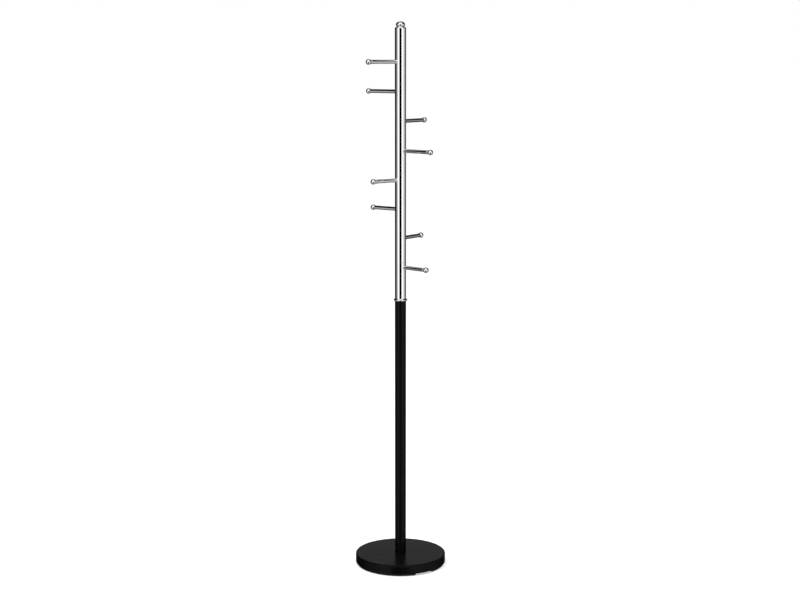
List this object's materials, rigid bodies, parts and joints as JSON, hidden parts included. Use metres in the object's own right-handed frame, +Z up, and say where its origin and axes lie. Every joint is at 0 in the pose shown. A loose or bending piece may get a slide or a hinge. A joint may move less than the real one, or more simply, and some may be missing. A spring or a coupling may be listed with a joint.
{
  "type": "standing coat rack",
  "caption": "Free-standing coat rack: black round weighted base, pole half black and half chrome with a chrome trim ring, ball-ended chrome pegs spiralling down it, domed top knob.",
  "frame": {"origin": "on the floor, on the pole's axis", "axes": "+Z up along the pole; -Y is the front, the side with the gap of the feet to its right; +X is to the right seen from the front"},
  "size_m": [0.285, 0.285, 1.7032],
  "materials": {
    "black_powder_coat": "satin black powder coat on steel",
    "chrome_plate": "polished chrome plate",
    "cast_ballast": "raw sand casting",
    "black_plastic": "fine moulded grain",
    "black_rubber": "matt",
    "zinc_fastener": "zinc plated"
  },
  "bodies": {
    "root": {"base_cover": "black_powder_coat", "base_weight": "cast_ballast", "base_plate": "black_plastic", "foot_1": "black_rubber", "foot_2": "black_rubber", "foot_3": "black_rubber", "plate_screws": "zinc_fastener", "pole_bolt": "zinc_fastener", "bolt_washer": "zinc_fastener", "lock_washer": "zinc_fastener", "lower_tube": "black_powder_coat", "lower_foot_nut": "zinc_fastener", "lower_head_nut": "zinc_fastener", "joint_stud": "zinc_fastener", "joint_ring": "chrome_plate", "upper_foot_nut": "zinc_fastener", "upper_tube": "chrome_plate", "top_cap": "chrome_plate", "top_knob": "chrome_plate", "peg_nuts": "zinc_fastener", "peg_rod_1": "chrome_plate", "peg_rod_2": "chrome_plate", "peg_rod_3": "chrome_plate", "peg_rod_4": "chrome_plate", "peg_rod_5": "chrome_plate", "peg_rod_6": "chrome_plate", "peg_rod_7": "chrome_plate", "peg_rod_8": "chrome_plate", "peg_ball_1": "chrome_plate", "peg_ball_2": "chrome_plate", "peg_ball_3": "chrome_plate", "peg_ball_4": "chrome_plate", "peg_ball_5": "chrome_plate", "peg_ball_6": "chrome_plate", "peg_ball_7": "chrome_plate", "peg_ball_8": "chrome_plate"}
  },
  "joints": []
}
